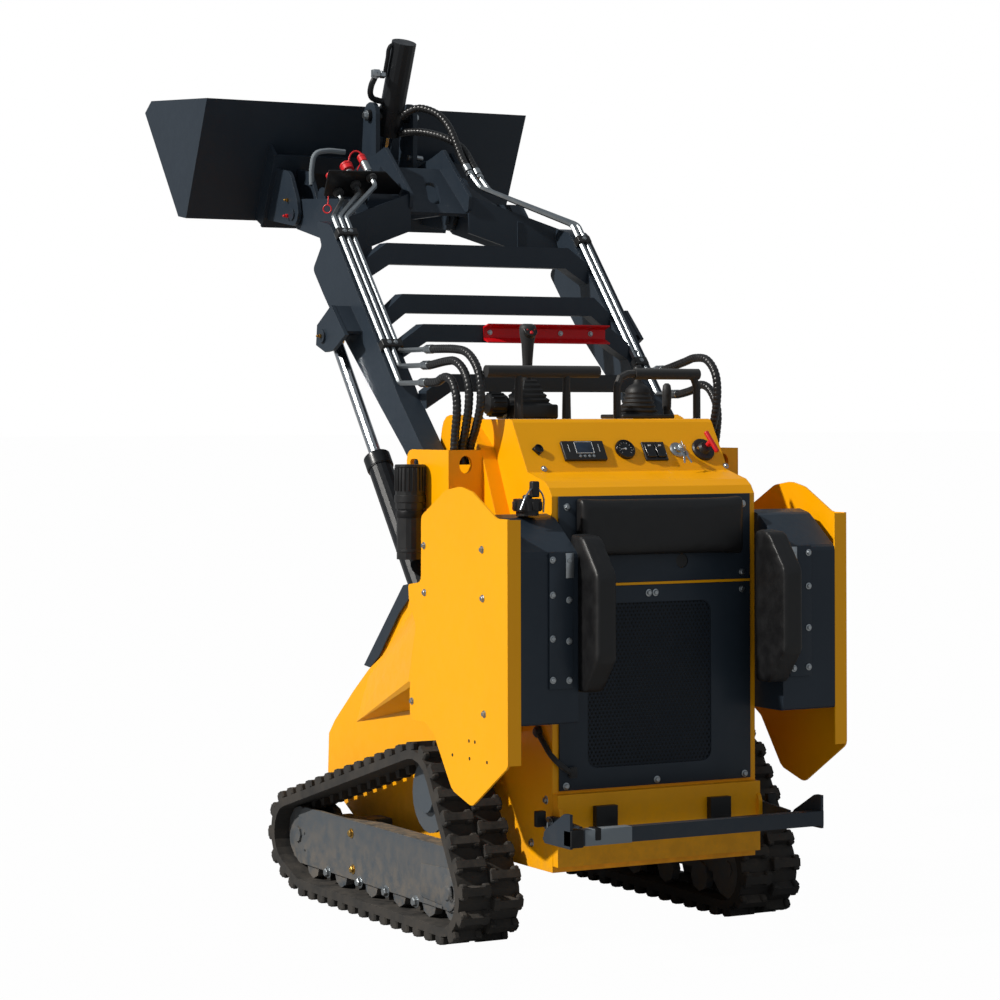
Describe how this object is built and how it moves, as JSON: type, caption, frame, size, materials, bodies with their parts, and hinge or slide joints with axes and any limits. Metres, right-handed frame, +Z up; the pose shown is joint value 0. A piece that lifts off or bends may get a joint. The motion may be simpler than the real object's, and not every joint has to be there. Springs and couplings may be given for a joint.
{
  "type": "mini skid steer loader",
  "caption": "Stand-on tracked mini loader with raised lift arms, curled bucket, tilt cylinder, console and fold-up platform.",
  "frame": {"origin": "middle of the footprint of the whole object's box, on the ground", "axes": "+X forward to the bucket, +Y to the machine's left, +Z up"},
  "size_m": [2.485, 1.136, 2.5896],
  "materials": {
    "yellow_paint": "semi-gloss safety yellow paint",
    "slate_paint": "semi-gloss dark blue-grey paint",
    "black_paint": "satin black paint",
    "grey_paint": "satin grey paint, dusty",
    "track_rubber": "dusty moulded rubber",
    "rubber": "matte rubber",
    "black_plastic": "moulded black plastic",
    "zinc_pipe": "zinc plated steel pipe",
    "red_paint": "gloss red paint",
    "hose_rubber": "black hydraulic hose in a spiral guard",
    "chrome_rod": "polished cylinder rod"
  },
  "bodies": {
    "machine": {"chassis": "yellow_paint", "console": "yellow_paint", "tower_left": "yellow_paint", "tower_right": "yellow_paint", "wing_left": "yellow_paint", "wing_right": "yellow_paint", "hood": "slate_paint", "rear_panel": "slate_paint", "side_tank_left": "slate_paint", "side_tank_right": "slate_paint", "track_frame_left": "grey_paint", "track_frame_right": "grey_paint", "sprocket_left": "grey_paint", "sprocket_right": "grey_paint", "engine": "grey_paint", "track_left": "track_rubber", "track_right": "track_rubber", "back_pad": "rubber", "knee_pad_left": "rubber", "knee_pad_right": "rubber", "step_block_left": "rubber", "step_block_right": "rubber", "document_tube": "black_plastic", "filler_cap": "black_plastic", "joystick_left": "black_plastic", "joystick_right": "black_plastic", "hand_bar": "black_plastic", "hand_loop": "black_plastic", "throttle_lever": "black_plastic", "horn": "black_plastic", "hoses_left": "hose_rubber", "hoses_right": "hose_rubber"},
    "platform_body": {"platform": "slate_paint"},
    "arms": {"arm_frame": "slate_paint", "arm_pipes_left": "zinc_pipe", "arm_pipes_right": "zinc_pipe", "couplers": "black_paint", "red_channel": "red_paint", "tilt_hoses": "hose_rubber"},
    "lift_barrel_left_body": {"lift_barrel_left": "black_paint"},
    "lift_barrel_right_body": {"lift_barrel_right": "black_paint"},
    "lift_rod_left_body": {"lift_rod_left": "chrome_rod"},
    "lift_rod_right_body": {"lift_rod_right": "chrome_rod"},
    "tilt_barrel_body": {"tilt_barrel": "black_paint"},
    "tilt_rod_body": {"tilt_rod": "chrome_rod"},
    "hitch_body": {"hitch": "slate_paint", "bucket": "slate_paint"}
  },
  "joints": [
    {"name": "platform_fold", "type": "hinge", "parent": "machine", "child": "platform_body", "pos_m": [-1.0125, 0, 0.335], "axis": [0, 1, 0], "range_deg": [0, 85]},
    {"name": "lift", "type": "hinge", "parent": "machine", "child": "arms", "pos_m": [-0.6125, 0, 1.1], "axis": [0, 1, 0], "range_deg": [0, 69.8], "deforming": ["hoses_left", "hoses_right"]},
    {"name": "tilt", "type": "hinge", "parent": "arms", "child": "hitch_body", "pos_m": [0.6375, 0, 2.035], "axis": [0, -1, 0], "range_deg": [-90, 18]},
    {"name": "lift_barrel_left_swing", "type": "hinge", "parent": "machine", "child": "lift_barrel_left_body", "pos_m": [-0.7255, 0.462, 0.7], "axis": [0, 1, 0], "range_deg": [0, 50.7]},
    {"name": "lift_rod_left_slide", "type": "slide", "parent": "lift_barrel_left_body", "child": "lift_rod_left_body", "axis": [0.6221, 0, 0.7829], "range_m": [-0.3397, 0]},
    {"name": "lift_barrel_right_swing", "type": "hinge", "parent": "machine", "child": "lift_barrel_right_body", "pos_m": [-0.7255, -0.462, 0.7], "axis": [0, 1, 0], "range_deg": [0, 50.7]},
    {"name": "lift_rod_right_slide", "type": "slide", "parent": "lift_barrel_right_body", "child": "lift_rod_right_body", "axis": [0.6221, 0, 0.7829], "range_m": [-0.3397, 0]},
    {"name": "tilt_barrel_swing", "type": "hinge", "parent": "arms", "child": "tilt_barrel_body", "pos_m": [0.579, 0, 2.35], "axis": [0, -1, 0], "range_deg": [-4.7, 1]},
    {"name": "tilt_rod_slide", "type": "slide", "parent": "tilt_barrel_body", "child": "tilt_rod_body", "axis": [0.3937, 0, -0.9192], "range_m": [-0.0195, 0.0973]}
  ],
  "couplings": [
    {"joint": "lift_barrel_left_swing", "follows": "lift", "ratio": 0.7246},
    {"joint": "lift_rod_left_slide", "follows": "lift", "m_per_rad": -0.2788},
    {"joint": "lift_barrel_right_swing", "follows": "lift", "ratio": 0.7246},
    {"joint": "lift_rod_right_slide", "follows": "lift", "m_per_rad": -0.2788},
    {"joint": "tilt_barrel_swing", "follows": "tilt", "ratio": 0.051},
    {"joint": "tilt_rod_slide", "follows": "tilt", "m_per_rad": -0.0619}
  ]
}
